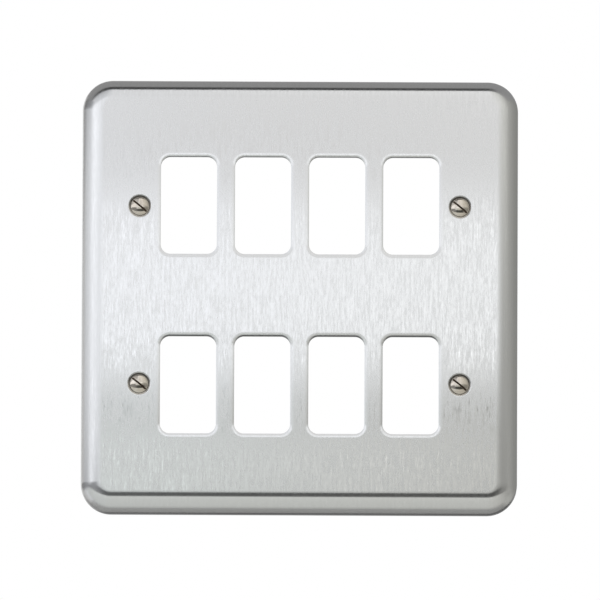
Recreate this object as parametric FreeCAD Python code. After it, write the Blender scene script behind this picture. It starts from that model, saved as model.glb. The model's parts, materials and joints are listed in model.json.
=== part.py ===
"""Grid switch plate, two rows of four module openings, pressed from one sheet of brushed steel.

The plate stands upright: its face looks towards -Y, +X is to the right and +Z is up.
The origin is the middle of the plate on the plane of the wall, where the back rim ends.
All sizes are in millimetres.
"""
import FreeCAD, Part
import math
import os

from FreeCAD import Vector

# Plate
plate_width = 147.0
plate_height = 147.0
plate_depth = 10.5
sheet_thickness = 1.5
corner_radius = 10.3
edge_roll_radius = 7.2

# Module openings
opening_columns = 4
opening_rows = 2
column_pitch = 25.0
row_pitch = 60.9
opening_width = 18.9
opening_height = 33.0
opening_corner_radius = 3.3
opening_roll_radius = 4.2
opening_roll_width = 1.1

# Fixing screws and the dimples that they sit in
screw_pitch_x = 108.0
screw_pitch_z = 60.3
countersink_diameter = 7.7
dimple_roll_radius = 0.5
dimple_depth = 2.6
thread_diameter = 3.5
neck_diameter = 2.6
screw_length = 12.0
tip_chamfer = 0.5
head_diameter = 6.3
head_rim = 0.15
dome_height = 1.1
slot_width = 0.6
slot_depth = 0.95
slot_angle = 39.5

# Washers that keep the screws in the plate
washer_diameter = 6.4
washer_thickness = 0.8

# Clearances
thread_clearance = 0.15
head_clearance = 0.05
neck_clearance = 0.02
washer_play = 0.25

# Worked out from the sizes above; depths are measured back from the face
face_y = -plate_depth
opening_roll_depth = opening_roll_radius - math.sqrt(opening_roll_radius**2 - opening_roll_width**2)
countersink_radius = countersink_diameter / 2
hole_radius = thread_diameter / 2 + thread_clearance
head_radius = head_diameter / 2
neck_radius = neck_diameter / 2
thread_radius = thread_diameter / 2
head_depth = countersink_radius - head_radius - head_clearance * math.sqrt(2)
washer_front_depth = dimple_depth + washer_play
thread_start_depth = washer_front_depth + washer_thickness + washer_play
tip_depth = head_depth + screw_length

screw_places = {
    "top_left": (-screw_pitch_x / 2, screw_pitch_z / 2),
    "top_right": (screw_pitch_x / 2, screw_pitch_z / 2),
    "bottom_left": (-screw_pitch_x / 2, -screw_pitch_z / 2),
    "bottom_right": (screw_pitch_x / 2, -screw_pitch_z / 2),
}

along_y = Vector(0, 1, 0)
touch = 1e-4
cutter_overshoot = 1.0


def rounded_block(width, height, radius, front_y, back_y):
    """An upright block, centred on the Y axis, with its four long edges rounded."""
    corner = Vector(-width / 2, front_y, -height / 2)
    block = Part.makeBox(width, back_y - front_y, height, corner)
    long_edges = [edge for edge in block.Edges if abs(edge.tangentAt(edge.FirstParameter).y) > 0.5]
    return block.makeFillet(radius, long_edges)


def edges_in_plane(shape, y, x=0.0, z=0.0, width=plate_width, height=plate_height):
    """The edges that lie in the plane at y, inside a rectangle about (x, z)."""
    found = []
    for edge in shape.Edges:
        box = edge.BoundBox
        in_plane = abs(box.YMin - y) < touch and abs(box.YMax - y) < touch
        beside = max(x - width / 2 - box.XMin, box.XMax - x - width / 2)
        above = max(z - height / 2 - box.ZMin, box.ZMax - z - height / 2)
        if in_plane and max(beside, above) < touch:
            found.append(edge)
    return found


def opening_centres():
    for row in range(opening_rows):
        for column in range(opening_columns):
            x = (column - (opening_columns - 1) / 2) * column_pitch
            z = (row - (opening_rows - 1) / 2) * row_pitch
            yield x, z


def line(start, end):
    return Part.LineSegment(start, end).toShape()


def closed_face(edges):
    return Part.Face(Part.Wire(edges))


def roll_section(wall_x, centre_x):
    """What is rolled away beside an opening's right wall: a shallow arc that leaves the face smoothly."""
    roll_x = wall_x + opening_roll_width
    half_width = opening_roll_width / 2
    half_depth = opening_roll_radius - math.sqrt(opening_roll_radius**2 - half_width**2)
    start = Vector(roll_x, face_y, 0)
    middle = Vector(roll_x - half_width, face_y + half_depth, 0)
    end = Vector(wall_x, face_y + opening_roll_depth, 0)
    corners = [
        end,
        Vector(centre_x, end.y, 0),
        Vector(centre_x, face_y - cutter_overshoot, 0),
        Vector(roll_x, face_y - cutter_overshoot, 0),
        start,
    ]
    edges = [Part.Arc(start, middle, end).toShape()]
    edges += [line(first, second) for first, second in zip(corners, corners[1:])]
    return closed_face(edges)


def opening_cutter():
    """The cutter for one opening about the Y axis: a straight hole with a shallow roll at its front."""
    core_x = opening_width / 2 - opening_corner_radius
    core_z = opening_height / 2 - opening_corner_radius
    cutter = rounded_block(opening_width, opening_height, opening_corner_radius, face_y - cutter_overshoot, 0)
    for quarter in range(4):
        side_x, side_z = (core_x, core_z) if quarter % 2 == 0 else (core_z, core_x)
        section = roll_section(side_x + opening_corner_radius, side_x)
        section.translate(Vector(0, 0, -side_z))
        side = section.extrude(Vector(0, 0, 2 * side_z))
        section.translate(Vector(0, 0, 2 * side_z))
        corner = section.revolve(Vector(side_x, 0, side_z), along_y, -90)
        for piece in (side, corner):
            piece.rotate(Vector(0, 0, 0), along_y, -90 * quarter)
            cutter = cutter.fuse(piece)
    return cutter.removeSplitter()


def pressed_tray():
    """The drawn sheet: a flat face with rolled edges that run back to an open rim."""
    outside = rounded_block(plate_width, plate_height, corner_radius, face_y, 0)
    outside = outside.makeFillet(edge_roll_radius, edges_in_plane(outside, face_y))
    inner_face_y = face_y + sheet_thickness
    inside = rounded_block(
        plate_width - 2 * sheet_thickness,
        plate_height - 2 * sheet_thickness,
        corner_radius - sheet_thickness,
        inner_face_y,
        sheet_thickness,
    )
    inside = inside.makeFillet(edge_roll_radius - sheet_thickness, edges_in_plane(inside, inner_face_y))
    return outside.cut(inside)


def dimple(x, z):
    """The cone that the press pushes out behind the sheet at a screw, with the sheet's own thickness."""
    wall = sheet_thickness * math.sqrt(2)
    root_depth = sheet_thickness / 2
    root_radius = countersink_radius - root_depth + wall
    back_radius = countersink_radius - dimple_depth + wall
    start = Vector(x, face_y + root_depth, z)
    return Part.makeCone(root_radius, back_radius, dimple_depth - root_depth, start, along_y)


def countersunk_hole(x, z):
    """The cutter for a screw hole: a right-angled cone down to a plain bore."""
    cone_depth = countersink_radius - hole_radius
    cone = Part.makeCone(countersink_radius, hole_radius, cone_depth, Vector(x, face_y, z), along_y)
    bore = Part.makeCylinder(hole_radius, plate_depth, Vector(x, face_y + cone_depth, z), along_y)
    return cone.fuse(bore)


def front_plate():
    plate = pressed_tray()
    cutter = opening_cutter()
    for x, z in opening_centres():
        plate = plate.cut(cutter.translated(Vector(x, 0, z)))
    for x, z in screw_places.values():
        plate = plate.fuse(dimple(x, z)).cut(countersunk_hole(x, z))
    plate = plate.removeSplitter()
    for x, z in screw_places.values():
        rim = edges_in_plane(plate, face_y, x, z, countersink_diameter, countersink_diameter)
        plate = plate.makeFillet(dimple_roll_radius, rim)
    return plate


def turned(profile):
    """A solid turned about the Y axis from the edges of half its section."""
    return closed_face(profile).revolve(Vector(0, 0, 0), along_y, 360)


def fixing_screw(x, z):
    """A raised countersunk screw with a straight slot and a waisted neck under the head."""
    dome_radius = (head_radius**2 + dome_height**2) / (2 * dome_height)
    half_angle = math.asin(head_radius / dome_radius) / 2
    rim_y = face_y + head_depth - head_rim
    top_y = rim_y - dome_height
    top = Vector(0, top_y, 0)
    shoulder = Vector(
        dome_radius * math.sin(half_angle), top_y + dome_radius * (1 - math.cos(half_angle)), 0
    )
    rim_front = Vector(head_radius, rim_y, 0)
    corners = [
        rim_front,
        Vector(head_radius, rim_y + head_rim, 0),
        Vector(neck_radius, face_y + head_depth + head_radius - neck_radius, 0),
        Vector(neck_radius, face_y + thread_start_depth, 0),
        Vector(thread_radius, face_y + thread_start_depth + thread_radius - neck_radius, 0),
        Vector(thread_radius, face_y + tip_depth - tip_chamfer, 0),
        Vector(thread_radius - tip_chamfer, face_y + tip_depth, 0),
        Vector(0, face_y + tip_depth, 0),
        top,
    ]
    profile = [Part.Arc(top, shoulder, rim_front).toShape()]
    profile += [line(start, end) for start, end in zip(corners, corners[1:])]
    screw = turned(profile)
    slot_corner = Vector(-head_diameter, top_y - slot_depth, -slot_width / 2)
    slot = Part.makeBox(2 * head_diameter, 2 * slot_depth, slot_width, slot_corner)
    slot.rotate(Vector(0, 0, 0), along_y, slot_angle)
    screw = screw.cut(slot)
    screw.translate(Vector(x, 0, z))
    return screw


def retaining_washer(x, z):
    """A plain ring that sits in the screw's neck, behind the dimple."""
    start = Vector(x, face_y + washer_front_depth, z)
    disc = Part.makeCylinder(washer_diameter / 2, washer_thickness, start, along_y)
    bore = Part.makeCylinder(neck_radius + neck_clearance, washer_thickness, start, along_y)
    return disc.cut(bore)


def main():
    nodes = {"front_plate": front_plate()}
    for place, (x, z) in screw_places.items():
        nodes["fixing_screw_" + place] = fixing_screw(x, z)
        nodes["retaining_washer_" + place] = retaining_washer(x, z)
    os.makedirs("parts", exist_ok=True)
    for name, shape in nodes.items():
        shape.exportStep("parts/" + name + ".step")
        print(name, shape.isValid(), len(shape.Solids), round(shape.Volume, 2))


main()
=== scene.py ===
"""Looks of a brushed-steel grid switch plate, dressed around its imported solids.

Everything is in metres, in the part's own frame: the face looks towards -Y, +X is to the right and +Z is up.
"""
import json
import math

import bmesh
import bpy
from mathutils import Matrix, Vector
from mathutils.geometry import tessellate_polygon


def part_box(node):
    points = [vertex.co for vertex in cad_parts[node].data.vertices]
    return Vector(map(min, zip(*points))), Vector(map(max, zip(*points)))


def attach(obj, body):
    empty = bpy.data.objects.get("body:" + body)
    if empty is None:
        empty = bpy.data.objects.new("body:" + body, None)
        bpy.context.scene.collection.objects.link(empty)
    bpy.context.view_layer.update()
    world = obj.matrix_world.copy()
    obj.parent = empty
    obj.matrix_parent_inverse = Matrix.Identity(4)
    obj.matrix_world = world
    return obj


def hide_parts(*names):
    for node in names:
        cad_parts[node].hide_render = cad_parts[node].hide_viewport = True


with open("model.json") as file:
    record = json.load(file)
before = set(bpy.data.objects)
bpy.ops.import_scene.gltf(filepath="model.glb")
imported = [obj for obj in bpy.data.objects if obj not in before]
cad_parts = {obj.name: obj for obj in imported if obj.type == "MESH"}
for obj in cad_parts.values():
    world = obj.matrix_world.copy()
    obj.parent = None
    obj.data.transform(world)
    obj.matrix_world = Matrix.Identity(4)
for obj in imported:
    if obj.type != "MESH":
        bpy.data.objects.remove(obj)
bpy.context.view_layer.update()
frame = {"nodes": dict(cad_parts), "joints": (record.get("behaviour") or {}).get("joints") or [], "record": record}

MM = 0.001

# Plate, as in the solids; the frame gives its width, height and depth
plate_low, plate_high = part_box("front_plate")
FACE_Y = plate_low.y
RIM_Y = plate_high.y
SHEET = 1.5 * MM
CORNER_RADIUS = 10.3 * MM
EDGE_ROLL = 7.2 * MM
OPENING_WIDTH = 18.9 * MM
OPENING_HEIGHT = 33.0 * MM
OPENING_CORNER = 3.3 * MM
COUNTERSINK = 3.85 * MM
DIMPLE_ROLL = 0.5 * MM
SCREW_HOLE = 1.9 * MM
DIMPLE_DEPTH = 2.6 * MM

# Roll at the openings' front edges, a little wider than in the solids, and its tilt where it ends
OPENING_ROLL_WIDTH = 1.7 * MM
OPENING_TILT = math.radians(17)

# Screws, as in the solids; the frame gives their heads' radius and their tips
DOME_HEIGHT = 1.1 * MM
HEAD_RIM = 0.15 * MM
HEAD_CLEARANCE = 0.05 * MM
NECK_RADIUS = 1.3 * MM
THREAD_RADIUS = 1.75 * MM
THREAD_START = 3.9 * MM
TIP_CHAMFER = 0.5 * MM
SLOT_WIDTH = 0.6 * MM
SLOT_DEPTH = 0.95 * MM
SLOT_ANGLE = math.radians(39.5)

# What the solids leave out of the screws: the groove of the thread, with the shares of half a pitch
# that its root and its flank take up, and the rounding of the slot's edges
THREAD_ROOT = 1.42 * MM
THREAD_PITCH = 0.6 * MM
ROOT_SHARE = 0.22
FLANK_SHARE = 0.6
SLOT_EDGE = 0.09 * MM

# Half the length of the block that cuts a slot, in radii of the head
CUTTER_REACH = 1.5

# How finely curves are cut, and the angle from which the edges of a screw stay sharp
CORNER_STEPS = 20
ROLL_STEPS = 28
EDGE_STEPS = 14
CIRCLE_STEPS = 48
DOME_STEPS = 12
THREAD_ROWS = 10
SLOT_EDGE_STEPS = 3
SHARP_ANGLE = math.radians(40)

# Places of the finishes in the plate's list of materials, and in the screws' list
FACE_FINISH, ROLL_FINISH, BACK_FINISH, SEAT_FINISH = 0, 1, 2, 3
PLATED_FINISH, SLOT_FINISH = 0, 1

# The UVs of the plate, which the brush lines follow
BRUSHING = "brushing"


class Skin:
    """Gathers faces with a normal and a UV at each of their corners, and makes a mesh of them."""

    def __init__(self):
        self.points = []
        self.faces = []
        self.normals = []
        self.uvs = []
        self.finishes = []

    def loop(self, spine, reach, y):
        """Adds a closed loop of points that lie reach away from their centres."""
        first = len(self.points)
        for centre, way in spine:
            self.points.append(Vector((centre.x + way.x * reach, y, centre.y + way.y * reach)))
        return list(range(first, len(self.points)))

    def face(self, corners, finish):
        """Adds a face from (point number, normal, uv) corners, turned to face along its normals."""
        a, b, c = (self.points[corner[0]] for corner in corners[:3])
        facing = sum((corner[1] for corner in corners), Vector())
        if (b - a).cross(c - a).dot(facing) < 0:
            corners = corners[::-1]
        self.faces.append([corner[0] for corner in corners])
        self.normals.extend(corner[1] for corner in corners)
        self.uvs.extend(corner[2] for corner in corners)
        self.finishes.append(finish)

    def sweep(self, spine, section, outward):
        """Runs a section round a spine, and returns the loops that it starts and ends with.

        A section is parts of (stretches, finish), and each stop in a stretch is (reach, y, outward normal,
        y normal). UVs follow the section, as if it were rolled out flat: outwards for 1, inwards for -1.
        """
        start = section[0][0][0][0]
        first = self.loop(spine, start[0], start[1])
        here_loop, here_flat = first, start[0]
        for stretches, finish in section:
            for stretch in stretches:
                for here, there in zip(stretch, stretch[1:]):
                    there_loop = self.loop(spine, there[0], there[1])
                    there_flat = here_flat + outward * math.dist(here[:2], there[:2])
                    rows = ((here_loop, here, here_flat), (there_loop, there, there_flat))
                    self.band(spine, rows, finish)
                    here_loop, here_flat = there_loop, there_flat
        return first, here_loop

    def band(self, spine, rows, finish):
        """Adds one ring of quads between two rows of (loop, stop, reach when rolled out flat)."""
        corner_rows = []
        for loop, stop, flat in rows:
            corner_rows.append([
                (number, Vector((way.x * stop[2], stop[3], way.y * stop[2])), centre + way * flat)
                for number, (centre, way) in zip(loop, spine)
            ])
        here, there = corner_rows
        for i in range(len(spine)):
            j = (i + 1) % len(spine)
            self.face([here[i], here[j], there[j], there[i]], finish)

    def flat(self, loops, normal, finish):
        """Fills the plane between an outer loop and the loops of its holes."""
        outlines = [[self.points[n].xzy for n in loop] for loop in loops]
        numbers = [n for loop in loops for n in loop]
        for triangle in tessellate_polygon(outlines):
            corners = [numbers[n] for n in triangle]
            self.face([(n, normal, self.points[n].xz) for n in corners], finish)

    def mesh(self, name, finishes):
        """Makes a mesh, with one material for each finish."""
        mesh = bpy.data.meshes.new(name)
        mesh.from_pydata(self.points, [], self.faces)
        for finish in finishes:
            mesh.materials.append(finish)
        mesh.polygons.foreach_set("material_index", self.finishes)
        layer = mesh.uv_layers.new(name=BRUSHING)
        layer.data.foreach_set("uv", [number for uv in self.uvs for number in uv])
        mesh.normals_split_custom_set(self.normals)
        return mesh


def rounded_spine(x, z, width, height, radius):
    """Corner centres and outward ways round a rounded rectangle."""
    spine = []
    for quarter, (side_x, side_z) in enumerate(((1, 1), (-1, 1), (-1, -1), (1, -1))):
        centre = Vector((x + side_x * (width / 2 - radius), z + side_z * (height / 2 - radius)))
        for step in range(CORNER_STEPS + 1):
            angle = (quarter + step / CORNER_STEPS) * math.pi / 2
            spine.append((centre, Vector((math.cos(angle), math.sin(angle)))))
    return spine


def round_spine(x, z):
    """The same for a circle."""
    angles = (2 * math.pi * step / CIRCLE_STEPS for step in range(CIRCLE_STEPS))
    return [(Vector((x, z)), Vector((math.cos(angle), math.sin(angle)))) for angle in angles]


def roll(reach, y, radius, outward, steps, turn=math.pi / 2, facing=1):
    """An arc about (reach, y) that leaves the face of the plate smoothly and turns towards its side."""
    stops = []
    for step in range(steps + 1):
        angle = turn * step / steps
        across, along = outward * math.sin(angle), -math.cos(angle)
        stops.append((reach + radius * across, y + radius * along, facing * across, facing * along))
    return stops


def straight(start, end, normal):
    """A straight stretch between two places of (reach, y)."""
    return [(*start, *normal), (*end, *normal)]


def edge_section():
    """From the flat face round the rolled edge to the rim, and the way back inside to the sheet's back."""
    roll_reach, roll_y = CORNER_RADIUS - EDGE_ROLL, FACE_Y + EDGE_ROLL
    inner_reach = CORNER_RADIUS - SHEET
    front = [
        roll(roll_reach, roll_y, EDGE_ROLL, 1, ROLL_STEPS),
        straight((CORNER_RADIUS, roll_y), (CORNER_RADIUS, RIM_Y), (1, 0)),
    ]
    back = [
        straight((CORNER_RADIUS, RIM_Y), (inner_reach, RIM_Y), (0, 1)),
        straight((inner_reach, RIM_Y), (inner_reach, roll_y), (-1, 0)),
        roll(roll_reach, roll_y, EDGE_ROLL - SHEET, 1, ROLL_STEPS, facing=-1)[::-1],
    ]
    return [(front, ROLL_FINISH), (back, BACK_FINISH)]


def opening_section():
    """From the flat face over the shallow, ever steeper roll at an opening, and through the sheet."""
    edge = []
    for step in range(EDGE_STEPS + 1):
        share = step / EDGE_STEPS
        tilt = OPENING_TILT * share**2
        reach = OPENING_CORNER + OPENING_ROLL_WIDTH * (1 - share)
        y = FACE_Y + OPENING_TILT * OPENING_ROLL_WIDTH * share**3 / 3
        edge.append((reach, y, -math.sin(tilt), -math.cos(tilt)))
    wall = straight(edge[-1][:2], (OPENING_CORNER, FACE_Y + SHEET), (-1, 0))
    return [([edge, wall], ROLL_FINISH)]


def dimple_section():
    """From the flat face over the rolled lip of a screw's dimple, and back up the cone behind it."""
    slope = math.sqrt(0.5)
    turn = math.pi / 4
    start = COUNTERSINK + DIMPLE_ROLL * math.tan(turn / 2)
    rim = roll(start, FACE_Y + DIMPLE_ROLL, DIMPLE_ROLL, -1, EDGE_STEPS, turn)
    cone_end = (SCREW_HOLE, FACE_Y + COUNTERSINK - SCREW_HOLE)
    back_y = FACE_Y + DIMPLE_DEPTH
    wall = SHEET / slope
    back_reach = COUNTERSINK - DIMPLE_DEPTH + wall
    root_reach = COUNTERSINK - SHEET + wall
    seat = [
        straight(rim[-1][:2], cone_end, (-slope, -slope)),
        straight(cone_end, (SCREW_HOLE, back_y), (-1, 0)),
    ]
    back = [
        straight((SCREW_HOLE, back_y), (back_reach, back_y), (0, 1)),
        straight((back_reach, back_y), (root_reach, FACE_Y + SHEET), (slope, slope)),
    ]
    return [([rim], ROLL_FINISH), (seat, SEAT_FINISH), (back, BACK_FINISH)]


def opening_centres():
    """Middles of the module openings, from the boxes in the record."""
    for opening in frame["record"]["physics"]["openings"]:
        if opening["name"].startswith("module_opening"):
            low, high = opening["box_m"]
            yield (low[0] + high[0]) / 2, (low[2] + high[2]) / 2


def build_plate(finishes):
    """The pressed plate as one closed skin: rolled edge, openings, dimples, and the flats between them."""
    skin = Skin()
    size = plate_high - plate_low
    outline = rounded_spine(0, 0, size.x, size.z, CORNER_RADIUS)
    loops = [skin.sweep(outline, edge_section(), outward=1)]
    for x, z in opening_centres():
        spine = rounded_spine(x, z, OPENING_WIDTH, OPENING_HEIGHT, OPENING_CORNER)
        loops.append(skin.sweep(spine, opening_section(), outward=-1))
    for joint in frame["joints"]:
        spine = round_spine(joint["pos_m"][0], joint["pos_m"][2])
        loops.append(skin.sweep(spine, dimple_section(), outward=-1))
    skin.flat([front for front, _ in loops], Vector((0, -1, 0)), FACE_FINISH)
    skin.flat([back for _, back in loops], Vector((0, 1, 0)), BACK_FINISH)
    plate = bpy.data.objects.new("plate_skin", skin.mesh("plate_skin", finishes))
    bpy.context.scene.collection.objects.link(plate)
    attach(plate, "plate")
    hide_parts("front_plate")


def thread_height(turns):
    """How far out a thread's flank is, from 0 at the root to 1 at the crest, after so many turns."""
    place = abs((turns % 1) * 2 - 1)
    return min(max((place - ROOT_SHARE) / FLANK_SHARE, 0), 1)


def screw_rows(head_radius, top_y, tip_y):
    """Rows of a screw from the top of its dome to its tip: (radius, y, thread depth)."""
    dome_radius = (head_radius**2 + DOME_HEIGHT**2) / (2 * DOME_HEIGHT)
    widest = math.asin(head_radius / dome_radius)
    rows = []
    for step in range(1, DOME_STEPS + 1):
        angle = widest * step / DOME_STEPS
        rows.append((dome_radius * math.sin(angle), top_y + dome_radius * (1 - math.cos(angle)), 0))
    rim_y = top_y + DOME_HEIGHT + HEAD_RIM
    neck_y = rim_y + head_radius - NECK_RADIUS
    thread_y = FACE_Y + THREAD_START
    rows += [(head_radius, rim_y, 0), (NECK_RADIUS, neck_y, 0), (NECK_RADIUS, thread_y, 0)]
    thread_y += THREAD_RADIUS - NECK_RADIUS
    thread_end = tip_y - TIP_CHAMFER
    count = round((thread_end - thread_y) / THREAD_PITCH * THREAD_ROWS)
    for step in range(count + 1):
        y = thread_y + (thread_end - thread_y) * step / count
        run_out = min((y - thread_y) / THREAD_PITCH, 1)
        rows.append((THREAD_RADIUS, y, (THREAD_RADIUS - THREAD_ROOT) * run_out))
    rows.append((THREAD_RADIUS - TIP_CHAMFER, tip_y, 0))
    return rows


def turned_screw(name, x, z, rows, top_y, tip_y):
    """A closed screw about an axis along Y, with a right-hand thread."""
    points = [Vector((x, top_y, z))]
    for radius, y, depth in rows:
        for step in range(CIRCLE_STEPS):
            turn = step / CIRCLE_STEPS
            reach = radius - depth * (1 - thread_height(y / THREAD_PITCH - turn))
            angle = 2 * math.pi * turn
            points.append(Vector((x + reach * math.sin(angle), y, z + reach * math.cos(angle))))
    points.append(Vector((x, tip_y, z)))
    last = len(points) - 1
    faces = []
    for step in range(CIRCLE_STEPS):
        after = (step + 1) % CIRCLE_STEPS
        faces.append((0, 1 + step, 1 + after))
        for row in range(len(rows) - 1):
            here, there = 1 + row * CIRCLE_STEPS, 1 + (row + 1) * CIRCLE_STEPS
            faces.append((here + step, there + step, there + after, here + after))
        end = 1 + (len(rows) - 1) * CIRCLE_STEPS
        faces.append((end + step, last, end + after))
    mesh = bpy.data.meshes.new(name)
    mesh.from_pydata(points, [], faces)
    return mesh


def slot_cutter(x, z, top_y, head_radius):
    """A block as wide as the screwdriver slot, that reaches out past the head."""
    half = Vector((CUTTER_REACH * head_radius, SLOT_DEPTH, SLOT_WIDTH / 2))
    signs = (-1, 1)
    corners = [half * Vector((a, b, c)) for a in signs for b in signs for c in signs]
    place = Matrix.Translation((x, top_y, z)) @ Matrix.Rotation(SLOT_ANGLE, 4, "Y")
    mesh = bpy.data.meshes.new("slot")
    sides = [(0, 1, 3, 2), (4, 6, 7, 5), (0, 4, 5, 1), (2, 3, 7, 6), (0, 2, 6, 4), (1, 5, 7, 3)]
    mesh.from_pydata([place @ corner for corner in corners], [], sides)
    return mesh


def cut_slot(screw, cutter_mesh):
    """Cuts a slot into a screw's mesh."""
    cutter = bpy.data.objects.new("slot", cutter_mesh)
    bpy.context.scene.collection.objects.link(cutter)
    cut = screw.modifiers.new("slot", "BOOLEAN")
    cut.object = cutter
    cut.solver = "EXACT"
    graph = bpy.context.evaluated_depsgraph_get()
    slotted = bpy.data.meshes.new_from_object(screw.evaluated_get(graph))
    screw.modifiers.clear()
    screw.data = slotted
    bpy.data.objects.remove(cutter)


def soften_slot(mesh, rim_y):
    """Rounds the edges where the slot breaks through the dome, and gives them the slot's dark painted shade, which
    widens the slot's dark line.
    """
    shape = bmesh.new()
    shape.from_mesh(mesh)
    edges = []
    for edge in shape.edges:
        finishes = {face.material_index for face in edge.link_faces}
        if len(finishes) == 2 and max(vert.co.y for vert in edge.verts) < rim_y:
            edges.append(edge)
    # The rounded edges take the slot's painted shade.
    bmesh.ops.bevel(
        shape, geom=edges, offset=SLOT_EDGE, offset_type="OFFSET", segments=SLOT_EDGE_STEPS, profile=0.5,
        affect="EDGES", clamp_overlap=True, material=SLOT_FINISH,
    )
    shape.to_mesh(mesh)
    shape.free()


def build_screw(joint, finishes):
    """A raised countersunk screw with a slotted head and a threaded shank."""
    body = joint["child"]
    members = frame["record"]["behaviour"]["bodies"][body]
    node_name = next(member for member in members if member.startswith("fixing_screw"))
    low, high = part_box(node_name)
    x, z = joint["pos_m"][0], joint["pos_m"][2]
    head_radius = (high.x - low.x) / 2
    rim_y = FACE_Y + COUNTERSINK - head_radius - HEAD_CLEARANCE * math.sqrt(2) - HEAD_RIM
    top_y = rim_y - DOME_HEIGHT
    name = "slotted_" + body
    blank = turned_screw(name, x, z, screw_rows(head_radius, top_y, high.y), top_y, high.y)
    cutter_mesh = slot_cutter(x, z, top_y, head_radius)
    # The cutter's faces become the slot's walls and floor, in the slot's painted shade.
    for mesh, finish in ((blank, PLATED_FINISH), (cutter_mesh, SLOT_FINISH)):
        for material in finishes:
            mesh.materials.append(material)
        mesh.polygons.foreach_set("material_index", [finish] * len(mesh.polygons))
    screw = bpy.data.objects.new(name, blank)
    bpy.context.scene.collection.objects.link(screw)
    cut_slot(screw, cutter_mesh)
    soften_slot(screw.data, rim_y)
    screw.data.polygons.foreach_set("use_smooth", [True] * len(screw.data.polygons))
    screw.data.set_sharp_from_angle(angle=SHARP_ANGLE)
    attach(screw, body)
    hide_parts(node_name)


def node(tree, kind, values=None, **settings):
    """Adds a shader node, with its settings and the values of its sockets."""
    made = tree.nodes.new(kind)
    for name, value in settings.items():
        setattr(made, name, value)
    for name, value in (values or {}).items():
        made.inputs[name].default_value = value
    return made


def object_place(tree):
    """Places in an object's own axes, in metres."""
    return node(tree, "ShaderNodeTexCoord").outputs["Object"]


def sheet_place(tree):
    """Places on the plate's sheet as if it were rolled out flat, in metres."""
    return node(tree, "ShaderNodeUVMap", uv_map=BRUSHING).outputs["UV"]


def ramp(tree, factor, stops):
    """A colour ramp through (position, colour) stops."""
    made = node(tree, "ShaderNodeValToRGB")
    elements = made.color_ramp.elements
    while len(elements) < len(stops):
        elements.new(1)
    for element, (position, colour) in zip(elements, stops):
        element.position = position
        element.color = colour
    tree.links.new(factor, made.inputs["Fac"])
    return made.outputs["Color"]


def mapped(tree, value, before, after):
    """A number carried over from one range to another, and kept inside it."""
    made = node(tree, "ShaderNodeMapRange", {
        "From Min": before[0], "From Max": before[1], "To Min": after[0], "To Max": after[1],
    })
    tree.links.new(value, made.inputs["Value"])
    return made.outputs["Result"]


def noise(tree, vector, stretch, detail, roughness):
    """Noise with its own stretch along each axis, in grains per metre."""
    mapping = node(tree, "ShaderNodeMapping", {"Scale": stretch})
    tree.links.new(vector, mapping.inputs["Vector"])
    made = node(tree, "ShaderNodeTexNoise", {"Scale": 1, "Detail": detail, "Roughness": roughness})
    tree.links.new(mapping.outputs["Vector"], made.inputs["Vector"])
    return made.outputs["Fac"]


def mixed(tree, first, second, share):
    """A plain blend of two numbers."""
    made = node(tree, "ShaderNodeMix", {"Factor": share}, data_type="FLOAT")
    tree.links.new(first, made.inputs["A"])
    tree.links.new(second, made.inputs["B"])
    return made.outputs["Result"]


def new_material(name, values):
    """A material with its shader, whose plain values are set on its own sockets."""
    material = bpy.data.materials.new(name)
    material.use_nodes = True
    tree = material.node_tree
    shader = tree.nodes["Principled BSDF"]
    for socket, value in values.items():
        shader.inputs[socket].default_value = value
    return material, tree, shader


def shade(tree, shader, colour, roughness):
    """Gives a shader its colour and its roughness."""
    tree.links.new(colour, shader.inputs["Base Color"])
    tree.links.new(roughness, shader.inputs["Roughness"])


def bump(tree, shader, height, strength, distance):
    """Lets a height show in a shader's surface."""
    made = node(tree, "ShaderNodeBump", {"Strength": strength, "Distance": distance})
    tree.links.new(height, made.inputs["Height"])
    tree.links.new(made.outputs["Normal"], shader.inputs["Normal"])


# Where most of a noise lies
NOISE_RANGE = (0.3, 0.7)


def brushed_steel(name, dullest, brightest):
    """Satin steel with short upright brush lines, given the roughness of the dullest and the brightest."""
    material, tree, shader = new_material(name, {"Metallic": 1, "Anisotropic": 0.8})
    place = sheet_place(tree)
    lines = noise(tree, place, stretch=(1250, 115, 1), detail=3, roughness=0.65)
    hairs = noise(tree, place, stretch=(2400, 480, 1), detail=2, roughness=0.5)
    streaks = mixed(tree, lines, hairs, share=0.4)
    colour = ramp(tree, streaks, [
        (0.35, (0.756, 0.756, 0.753, 1)),
        (0.48, (0.762, 0.762, 0.760, 1)),
        (0.70, (0.788, 0.789, 0.790, 1)),
    ])
    shade(tree, shader, colour, mapped(tree, streaks, (0.42, 0.68), (dullest, brightest)))
    bump(tree, shader, streaks, strength=0.15, distance=0.02 * MM)
    tangent = node(tree, "ShaderNodeTangent", direction_type="UV_MAP", uv_map=BRUSHING)
    tree.links.new(tangent.outputs["Tangent"], shader.inputs["Tangent"])
    return material


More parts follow.
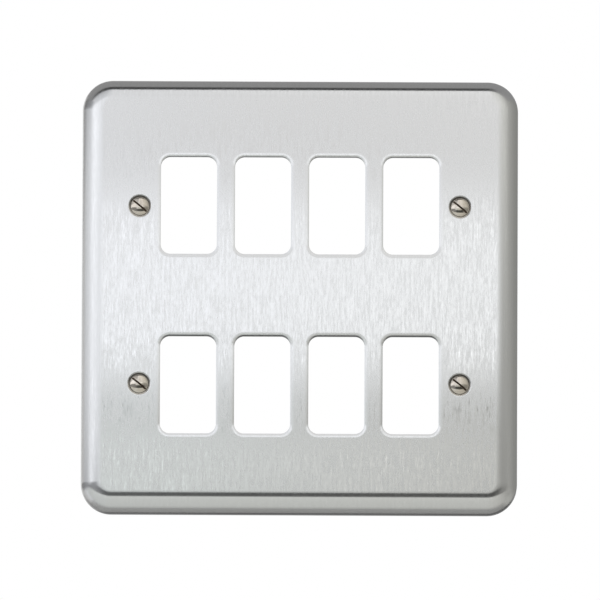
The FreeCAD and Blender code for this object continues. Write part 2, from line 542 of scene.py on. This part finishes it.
def seat_steel():
    """The pressed seats of the screws, that the brush doesn't reach: dark, as painted shade of the recess on
    unbrushed steel, and paler where they face up, as painted light from above.
    """
    material, tree, shader = new_material("seat_steel", {"Metallic": 1})
    grain = noise(tree, object_place(tree), stretch=(1800, 5200, 1800), detail=3, roughness=0.6)
    facing = node(tree, "ShaderNodeSeparateXYZ")
    tree.links.new(node(tree, "ShaderNodeNewGeometry").outputs["Normal"], facing.inputs["Vector"])
    # Painted light: the seat is made paler where its normal faces up and darker where it faces down, as if lit
    # from above.
    painted_light_upward = mapped(tree, facing.outputs["Z"], (-0.2, 0.7), (0, 1))
    grain_and_painted_light = mixed(tree, grain, painted_light_upward, share=0.75)
    # Colour from dark to pale: painted shade and painted light of the recess, with a little random grain.
    colour = ramp(tree, grain_and_painted_light, [
        (0.10, (0.26, 0.26, 0.26, 1)),
        (0.35, (0.40, 0.40, 0.395, 1)),
        (0.95, (0.80, 0.80, 0.79, 1)),
    ])
    shade(tree, shader, colour, mapped(tree, grain, NOISE_RANGE, (0.24, 0.36)))
    bump(tree, shader, grain, strength=0.15, distance=0.02 * MM)
    return material


def mill_steel():
    """The unpolished back of the sheet: dull and cloudy, with faint rolling lines."""
    material, tree, shader = new_material("mill_steel", {"Metallic": 1})
    place = sheet_place(tree)
    cloud = noise(tree, place, stretch=(140, 110, 1), detail=4, roughness=0.6)
    rolling = noise(tree, place, stretch=(900, 60, 1), detail=3, roughness=0.6)
    both = mixed(tree, cloud, rolling, share=0.4)
    colour = ramp(tree, both, [
        (0.30, (0.60, 0.60, 0.59, 1)),
        (0.70, (0.73, 0.73, 0.72, 1)),
    ])
    shade(tree, shader, colour, mapped(tree, both, NOISE_RANGE, (0.36, 0.5)))
    bump(tree, shader, both, strength=0.2, distance=0.03 * MM)
    return material


def nickel_plate():
    """Bright, slightly warm nickel with fine marks and a little wear."""
    material, tree, shader = new_material("nickel_plate", {"Metallic": 1})
    place = object_place(tree)
    grain = noise(tree, place, stretch=(2600, 2600, 2600), detail=3, roughness=0.6)
    cloud = noise(tree, place, stretch=(500, 500, 500), detail=2, roughness=0.5)
    both = mixed(tree, grain, cloud, share=0.5)
    colour = ramp(tree, both, [
        (0.32, (0.58, 0.52, 0.45, 1)),
        (0.55, (0.71, 0.65, 0.57, 1)),
        (0.70, (0.78, 0.73, 0.66, 1)),
    ])
    shade(tree, shader, colour, mapped(tree, both, NOISE_RANGE, (0.05, 0.11)))
    bump(tree, shader, grain, strength=0.15, distance=0.02 * MM)
    return material


def slot_shade():
    """The sawn slot: dull and brown where the plating is thin, and dark as painted shade of the deep, narrow slot.
    """
    material, tree, shader = new_material("slot_shade", {"Metallic": 1})
    grain = noise(tree, object_place(tree), stretch=(3000, 3000, 3000), detail=3, roughness=0.6)
    # Painted shade: the near-black browns stand in for the shadow inside the slot.
    colour = ramp(tree, grain, [
        (0.35, (0.045, 0.030, 0.020, 1)),
        (0.65, (0.100, 0.072, 0.052, 1)),
    ])
    shade(tree, shader, colour, mapped(tree, grain, NOISE_RANGE, (0.40, 0.55)))
    bump(tree, shader, grain, strength=0.3, distance=0.03 * MM)
    return material


def nylon():
    """Natural nylon, a little cloudy, with a soft moulded sheen."""
    material, tree, shader = new_material("nylon", {
        "Subsurface Weight": 0.15, "Subsurface Scale": 0.5 * MM, "Subsurface Radius": (1.0, 0.9, 0.7),
    })
    cloud = noise(tree, object_place(tree), stretch=(900, 900, 900), detail=3, roughness=0.5)
    colour = ramp(tree, cloud, [
        (0.30, (0.78, 0.76, 0.69, 1)),
        (0.70, (0.86, 0.85, 0.79, 1)),
    ])
    shade(tree, shader, colour, mapped(tree, cloud, NOISE_RANGE, (0.38, 0.5)))
    bump(tree, shader, cloud, strength=0.2, distance=0.03 * MM)
    return material


# Studio: a pale floor, a large soft panel in front of the plate, and a tent of dimmer cards around it
FLOOR_Z = -0.85
FLOOR_SIZE = 8.0
PANEL_Y = -0.40
PANEL_TOP = 1.40
LEFT_X, RIGHT_X = -1.0, 0.9
CEILING_Z = 0.60
CEILING_FRONT_Y = -0.24
BACK_Y = 1.20
BOUNCE_Z = -0.24
BOUNCE_BACK_Y = 0.02
CARD_STRENGTH = 1.5

# The dark skirt at the foot of the panel: where it ends, and how far it fades to either side of that
SKIRT_TOP = -0.094
SKIRT_BLUR = 0.006

# Tints of the cards
PLAIN = (1.0, 1.0, 1.0)
COOL = (0.97, 0.99, 1.03)
PALE = (0.985, 1.0, 1.01)
GREEN = (0.945, 1.0, 0.985)
FAINT_GREEN = (0.98, 1.0, 0.98)
MINT = (0.97, 1.0, 0.985)
OLIVE = (0.98, 1.0, 0.96)
FAINT_WARM = (0.995, 1.0, 0.97)
WARM = (1.0, 1.0, 0.945)


def sheet_object(name, corners, material):
    """A flat stage piece."""
    mesh = bpy.data.meshes.new(name)
    mesh.from_pydata(corners, [], [tuple(range(len(corners)))])
    mesh.materials.append(material)
    made = bpy.data.objects.new(name, mesh)
    bpy.context.scene.collection.objects.link(made)
    return made


def build_floor():
    """A pale, faintly cloudy floor, well below the plate."""
    material, tree, shader = new_material("pale_floor", {"Roughness": 0.8})
    cloud = noise(tree, object_place(tree), stretch=(6, 6, 6), detail=2, roughness=0.5)
    colour = ramp(tree, cloud, [
        (0.3, (0.79, 0.79, 0.78, 1)),
        (0.7, (0.82, 0.82, 0.81, 1)),
    ])
    tree.links.new(colour, shader.inputs["Base Color"])
    half = FLOOR_SIZE / 2
    corners = [(a * half, b * half, FLOOR_Z) for a, b in ((-1, -1), (1, -1), (1, 1), (-1, 1))]
    sheet_object("floor", corners, material)


def grey(value, tint=PLAIN):
    """A tint made as bright as a value, as a colour."""
    return (value * tint[0], value * tint[1], value * tint[2], 1)


class Card:
    """A glowing stage card, not seen by the camera, whose light changes along its sides."""

    def __init__(self, name, corners):
        self.name = name
        self.corners = corners
        self.material = bpy.data.materials.new(name)
        self.material.use_nodes = True
        self.tree = self.material.node_tree
        self.tree.nodes.clear()
        self.axes = node(self.tree, "ShaderNodeSeparateXYZ")
        self.tree.links.new(object_place(self.tree), self.axes.inputs["Vector"])

    def along(self, axis, stops):
        """Light by place along an axis: stops are (metres, light) or (metres, light, tint)."""
        low, high = stops[0][0], stops[-1][0]
        share = mapped(self.tree, self.axes.outputs[axis], (low, high), (0, 1))
        colours = [
            ((stop[0] - low) / (high - low), grey(stop[1] / CARD_STRENGTH, *stop[2:])) for stop in stops
        ]
        return ramp(self.tree, share, colours)

    def share(self, axis, stops):
        """A plain number, or a tint, by place along an axis."""
        return self.along(axis, [(stop[0], stop[1] * CARD_STRENGTH, *stop[2:]) for stop in stops])

    def mix(self, first, second, factor):
        """Goes over from one light to another by a factor from 0 to 1."""
        made = node(self.tree, "ShaderNodeMix", data_type="RGBA")
        self.tree.links.new(factor, made.inputs["Factor"])
        self.tree.links.new(first, made.inputs["A"])
        self.tree.links.new(second, made.inputs["B"])
        return made.outputs["Result"]

    def times(self, light, share):
        """Makes a light dimmer or brighter by a share, or tints it."""
        made = node(self.tree, "ShaderNodeMix", {"Factor": 1}, data_type="RGBA", blend_type="MULTIPLY")
        self.tree.links.new(light, made.inputs["A"])
        self.tree.links.new(share, made.inputs["B"])
        return made.outputs["Result"]

    def show(self, light):
        """Puts the card on the stage, glowing with a light."""
        glow = node(self.tree, "ShaderNodeEmission", {"Strength": CARD_STRENGTH})
        self.tree.links.new(light, glow.inputs["Color"])
        output = node(self.tree, "ShaderNodeOutputMaterial")
        self.tree.links.new(glow.outputs["Emission"], output.inputs["Surface"])
        made = sheet_object(self.name, self.corners, self.material)
        made.visible_camera = False


def panel_middle(card):
    """What the face of the plate shows: a bright strip between two softer parts, each with its tints."""
    upright = card.along("Z", [
        (-0.070, 0.54), (-0.035, 0.56), (-0.018, 0.70), (-0.008, 0.81), (-0.001, 0.52), (0.010, 0.30),
        (0.024, 1.36), (0.036, 1.12), (0.045, 1.17), (0.062, 1.11), (0.075, 1.33), (0.083, 0.87),
        (0.092, 0.735), (0.12, 0.865), (0.16, 0.85), (0.25, 0.85), (0.80, 0.98),
    ])
    low_tint = card.share("X", [
        (-0.075, 1.20, GREEN), (-0.055, 1.60, GREEN), (-0.036, 1.25, GREEN), (-0.010, 1.01, FAINT_GREEN),
        (0.03, 1.24, FAINT_WARM), (0.06, 1.06, WARM), (0.08, 0.90, WARM),
    ])
    strip_tint = card.share("X", [
        (-0.10, 1.04, COOL), (-0.05, 1.05, COOL), (-0.02, 1.02, COOL), (0.02, 1.0, PALE),
        (0.10, 1.05, PALE),
    ])
    high_tint = card.share("X", [
        (-0.080, 1.12, COOL), (-0.055, 1.01), (0.0, 1.0), (0.05, 1.02), (0.085, 1.10),
    ])
    tint = card.mix(low_tint, strip_tint, card.share("Z", [(0.004, 0.0), (0.026, 1.0)]))
    tint = card.mix(tint, high_tint, card.share("Z", [(0.074, 0.0), (0.093, 1.0)]))
    return card.times(upright, tint)


def panel_sides(card, middle):
    """The middle with the panel's brighter left side and its dimmer right side, which the edges show."""
    left = card.along("X", [
        (-0.90, 1.13, COOL), (-0.745, 1.18, COOL), (-0.50, 1.19, COOL), (-0.36, 1.12, COOL),
        (-0.21, 0.97, COOL),
    ])
    left_height = card.share("Z", [(0.06, 1.0), (0.15, 1.08), (0.25, 1.06), (0.32, 0.70), (0.80, 0.50)])
    left = card.times(left, left_height)
    right = card.along("X", [(0.40, 0.49, WARM), (0.60, 0.46, WARM), (RIGHT_X, 0.41, WARM)])
    light = card.mix(middle, left, card.share("X", [(-0.19, 1.0), (-0.11, 0.0)]))
    light = card.mix(light, right, card.share("X", [
        (0.09, 0.0), (0.12, 0.24), (0.18, 0.54), (0.267, 0.80), (0.376, 0.97),
    ]))
    low_edge = card.share("X", [
        (0.10, 1.0), (0.13, 0.96), (0.18, 0.80), (0.35, 0.62), (0.60, 0.68), (RIGHT_X, 0.72),
    ])
    high_edge = card.share("X", [
        (0.07, 1.0), (0.12, 1.12), (0.22, 1.27), (0.35, 1.40), (0.60, 1.22), (RIGHT_X, 1.07),
    ])
    edge = card.mix(low_edge, high_edge, card.share("Z", [(0.0, 0.0), (0.07, 0.37), (0.125, 1.0)]))
    return card.times(light, edge)


def panel_skirt(card):
    """The dark skirt at the foot of the panel, higher at the left, that fades out to the right."""
    skirt = card.share("Z", [(SKIRT_TOP - SKIRT_BLUR, 0.15), (SKIRT_TOP + SKIRT_BLUR, 1.0)])
    left_skirt = card.share("Z", [(-0.025, 0.28), (0.004, 1.0)])
    skirt = card.mix(skirt, left_skirt, card.share("X", [(-0.30, 1.0), (-0.17, 0.0)]))
    no_skirt = card.share("X", [(0.18, 1.10), (0.40, 1.10)])
    return card.mix(skirt, no_skirt, card.share("X", [(0.18, 0.0), (0.40, 0.85)]))


def build_panel():
    """The main light, a large soft panel in front of the plate."""
    card = Card("soft_panel", [
        (LEFT_X, PANEL_Y, BOUNCE_Z), (RIGHT_X, PANEL_Y, BOUNCE_Z),
        (RIGHT_X, PANEL_Y, PANEL_TOP), (LEFT_X, PANEL_Y, PANEL_TOP),
    ])
    light = panel_sides(card, panel_middle(card))
    card.show(card.times(light, panel_skirt(card)))


def build_left_card():
    """A cool card at the left, dimmer high up, with a dark skirt that is higher away from the panel."""
    card = Card("left_card", [
        (LEFT_X, PANEL_Y, FLOOR_Z), (LEFT_X, BACK_Y, FLOOR_Z),
        (LEFT_X, BACK_Y, CEILING_Z), (LEFT_X, PANEL_Y, CEILING_Z),
    ])
    light = card.along("Y", [
        (PANEL_Y, 1.10, COOL), (-0.295, 1.03, COOL), (-0.06, 0.85, COOL), (0.20, 0.80, COOL),
        (0.57, 0.62), (BACK_Y, 0.5),
    ])
    light = card.times(light, card.share("Z", [(0.13, 1.0), (0.17, 1.1), (0.195, 0.6), (0.29, 0.35)]))
    front_skirt = card.share("Z", [(-0.105, 0.15), (-0.085, 1.0)])
    side_skirt = card.share("Z", [(-0.28, 1.0), (-0.16, 0.38), (0.03, 0.38), (0.055, 1.0)])
    skirt = card.mix(front_skirt, side_skirt, card.share("Y", [(-0.36, 0.0), (-0.18, 1.0)]))
    card.show(card.times(light, skirt))


def build_right_card():
    """A dim, warm card at the right, brighter low down."""
    card = Card("right_card", [
        (RIGHT_X, PANEL_Y, FLOOR_Z), (RIGHT_X, BACK_Y, FLOOR_Z),
        (RIGHT_X, BACK_Y, PANEL_TOP), (RIGHT_X, PANEL_Y, PANEL_TOP),
    ])
    light = card.along("Y", [
        (-0.20, 0.41, WARM), (0.0, 0.36, WARM), (0.30, 0.31, WARM), (BACK_Y, 0.28, WARM),
    ])
    low = card.share("Z", [(-0.50, 1.55), (-0.12, 1.0)])
    card.show(card.times(light, low))


def build_top_card():
    """A dim card above the plate, almost dark along its front except at the right."""
    card = Card("top_card", [
        (LEFT_X, CEILING_FRONT_Y, CEILING_Z), (RIGHT_X, CEILING_FRONT_Y, CEILING_Z),
        (RIGHT_X, BACK_Y, CEILING_Z), (LEFT_X, BACK_Y, CEILING_Z),
    ])
    light = card.along("Y", [(CEILING_FRONT_Y, 0.05), (-0.075, 0.05), (-0.04, 0.31), (BACK_Y, 0.31)])
    plain = card.along("Y", [(CEILING_FRONT_Y, 0.31), (BACK_Y, 0.31)])
    card.show(card.mix(light, plain, card.share("X", [(0.10, 0.0), (0.28, 1.0)])))


def build_back_card():
    """A card behind the plate, bright at the left and dim elsewhere, and dimmer low down."""
    card = Card("back_card", [
        (LEFT_X, BACK_Y, FLOOR_Z), (RIGHT_X, BACK_Y, FLOOR_Z),
        (RIGHT_X, BACK_Y, CEILING_Z), (LEFT_X, BACK_Y, CEILING_Z),
    ])
    light = card.along("X", [(LEFT_X, 0.9), (-0.32, 0.9), (-0.16, 0.36), (0.16, 0.30), (RIGHT_X, 0.28)])
    low = card.share("Z", [(-0.34, 0.35), (-0.22, 0.6), (-0.12, 1.0)])
    card.show(card.times(light, low))


def build_bounce_card():
    """A soft card below and in front of the plate, for its lower edge."""
    card = Card("bounce_card", [
        (LEFT_X, PANEL_Y, BOUNCE_Z), (RIGHT_X, PANEL_Y, BOUNCE_Z),
        (RIGHT_X, BOUNCE_BACK_Y, BOUNCE_Z), (LEFT_X, BOUNCE_BACK_Y, BOUNCE_Z),
    ])
    light = card.along("Y", [
        (PANEL_Y, 0.18), (-0.366, 0.18), (-0.338, 0.80), (-0.20, 0.70), (-0.083, 0.66), (-0.03, 0.65),
        (BOUNCE_BACK_Y, 0.50),
    ])
    tint = card.share("X", [
        (-0.15, 1.0, MINT), (0.0, 0.97, OLIVE), (0.15, 0.9, WARM), (0.45, 0.62, WARM),
    ])
    card.show(card.times(light, tint))


# World: its strength where it is seen or mirrored, and where it only lights plain surfaces
WORLD_SEEN = 1.0
WORLD_LIGHT = 0.6


def build_world():
    """White behind everything, to the eye and in reflections, and a softer light on plain surfaces."""
    world = bpy.data.worlds.new("studio")
    bpy.context.scene.world = world
    world.use_nodes = True
    tree = world.node_tree
    tree.nodes.clear()
    path = node(tree, "ShaderNodeLightPath")
    seen = path.outputs["Is Camera Ray"]
    for kind in ("Is Glossy Ray", "Is Transmission Ray"):
        either = node(tree, "ShaderNodeMath", operation="MAXIMUM")
        tree.links.new(seen, either.inputs[0])
        tree.links.new(path.outputs[kind], either.inputs[1])
        seen = either.outputs["Value"]
    strength = mapped(tree, seen, (0, 1), (WORLD_LIGHT, WORLD_SEEN))
    light = node(tree, "ShaderNodeBackground", {"Color": (1, 1, 1, 1)})
    tree.links.new(strength, light.inputs["Strength"])
    output = node(tree, "ShaderNodeOutputWorld")
    tree.links.new(light.outputs["Background"], output.inputs["Surface"])


# Camera: far off and a little below the plate, as the photograph was taken
CAMERA_DISTANCE = 6.0
CAMERA_BELOW = math.radians(7.0)
CAMERA_ROLL = math.radians(0.25)
CAMERA_REACH = 20.0
VIEW_WIDTH = 202.2 * MM
AIM = Vector((0.12 * MM, FACE_Y, -1.62 * MM))
SENSOR = 36.0


def build_camera():
    """A camera that looks up at the plate and sees as much of its width as the photograph."""
    data = bpy.data.cameras.new("camera")
    data.sensor_width = SENSOR
    data.lens = SENSOR * CAMERA_DISTANCE / VIEW_WIDTH
    data.clip_end = CAMERA_REACH
    camera = bpy.data.objects.new("camera", data)
    bpy.context.scene.collection.objects.link(camera)
    back = Vector((0, -math.cos(CAMERA_BELOW), -math.sin(CAMERA_BELOW)))
    turn = (-back).to_track_quat("-Z", "Y").to_matrix().to_4x4()
    lean = Matrix.Rotation(CAMERA_ROLL, 4, "Z")
    camera.matrix_world = Matrix.Translation(AIM + back * CAMERA_DISTANCE) @ turn @ lean
    bpy.context.scene.camera = camera


build_plate([
    brushed_steel("brushed_steel", dullest=0.285, brightest=0.08),
    brushed_steel("rolled_steel", dullest=0.25, brightest=0.16),
    mill_steel(),
    seat_steel(),
])
screw_finishes = [nickel_plate(), slot_shade()]
for screw_joint in frame["joints"]:
    build_screw(screw_joint, screw_finishes)
washer_finish = nylon()
for node_name, washer in frame["nodes"].items():
    if node_name.startswith("retaining_washer"):
        washer.material_slots[0].material = washer_finish
build_floor()
build_panel()
build_left_card()
build_right_card()
build_top_card()
build_back_card()
build_bounce_card()
build_world()
build_camera()
bpy.context.scene.view_settings.view_transform = "Standard"
